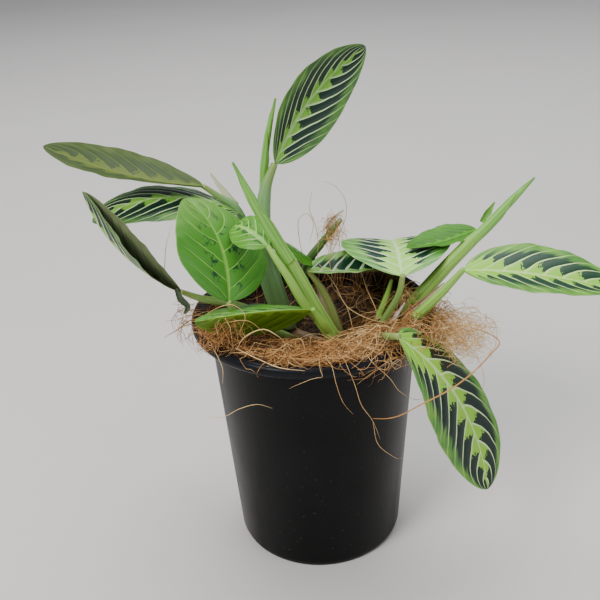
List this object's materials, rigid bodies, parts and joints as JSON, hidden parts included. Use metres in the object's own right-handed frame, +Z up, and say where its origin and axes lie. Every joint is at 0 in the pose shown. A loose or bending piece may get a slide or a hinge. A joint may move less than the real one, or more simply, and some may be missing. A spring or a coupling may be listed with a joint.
{
  "type": "potted prayer plant",
  "caption": "Prayer plant with patterned oval leaves on arching stalks, rooted in potting mix under loose coir mulch in a plain black nursery pot.",
  "frame": {"origin": "centre of the pot's base, on the surface that it stands on", "axes": "+Z up the pot's axis, +X to the right and +Y to the back as the plant is seen from its front"},
  "size_m": [0.3587, 0.1856, 0.3361],
  "materials": {
    "black_pot": "satin",
    "potting_mix": "matte",
    "coir_fibre": "matte",
    "green_stem": "satin",
    "old_stem": "matte",
    "brown_root": "matte",
    "dry_sheath": "matte",
    "dark_bract": "matte",
    "patterned_leaf": "satin",
    "fresh_leaf": "satin",
    "leaf_underside": "matte"
  },
  "bodies": {
    "root": {"back_leaf_stalk": "green_stem", "back_right_leaf": "fresh_leaf", "bright_small_leaf": "fresh_leaf", "broad_back_leaf": "patterned_leaf", "broad_front_leaf": "fresh_leaf", "broken_stub": "old_stem", "coir_mulch": "coir_fibre", "coir_tuft": "coir_fibre", "cream_sheath": "dry_sheath", "drooping_leaf_stalk": "green_stem", "drooping_left_leaf": "leaf_underside", "folded_front_leaf": "leaf_underside", "front_leaf_stalk": "green_stem", "front_rolled_leaf": "green_stem", "front_stalk": "green_stem", "hanging_leaf": "patterned_leaf", "hanging_leaf_stalk": "green_stem", "left_bract": "dark_bract", "left_stalk": "green_stem", "lower_right_stalk": "green_stem", "middle_leaf_stalk": "green_stem", "middle_sheath": "dry_sheath", "nursery_pot": "black_pot", "outer_right_leaf": "patterned_leaf", "pale_papery_sheath": "dry_sheath", "pink_sheath_edge": "dry_sheath", "potting_soil": "potting_mix", "rhizome": "brown_root", "right_bract": "green_stem", "right_rolled_leaf": "green_stem", "small_middle_leaf": "fresh_leaf", "striped_left_leaf": "patterned_leaf", "striped_middle_leaf": "patterned_leaf", "stub_sheath": "dry_sheath", "tall_leaf": "patterned_leaf", "tall_rolled_leaf": "green_stem", "tall_stalk": "green_stem", "upper_left_leaf": "leaf_underside", "upper_right_stalk": "green_stem", "young_shoot": "green_stem"}
  },
  "joints": []
}
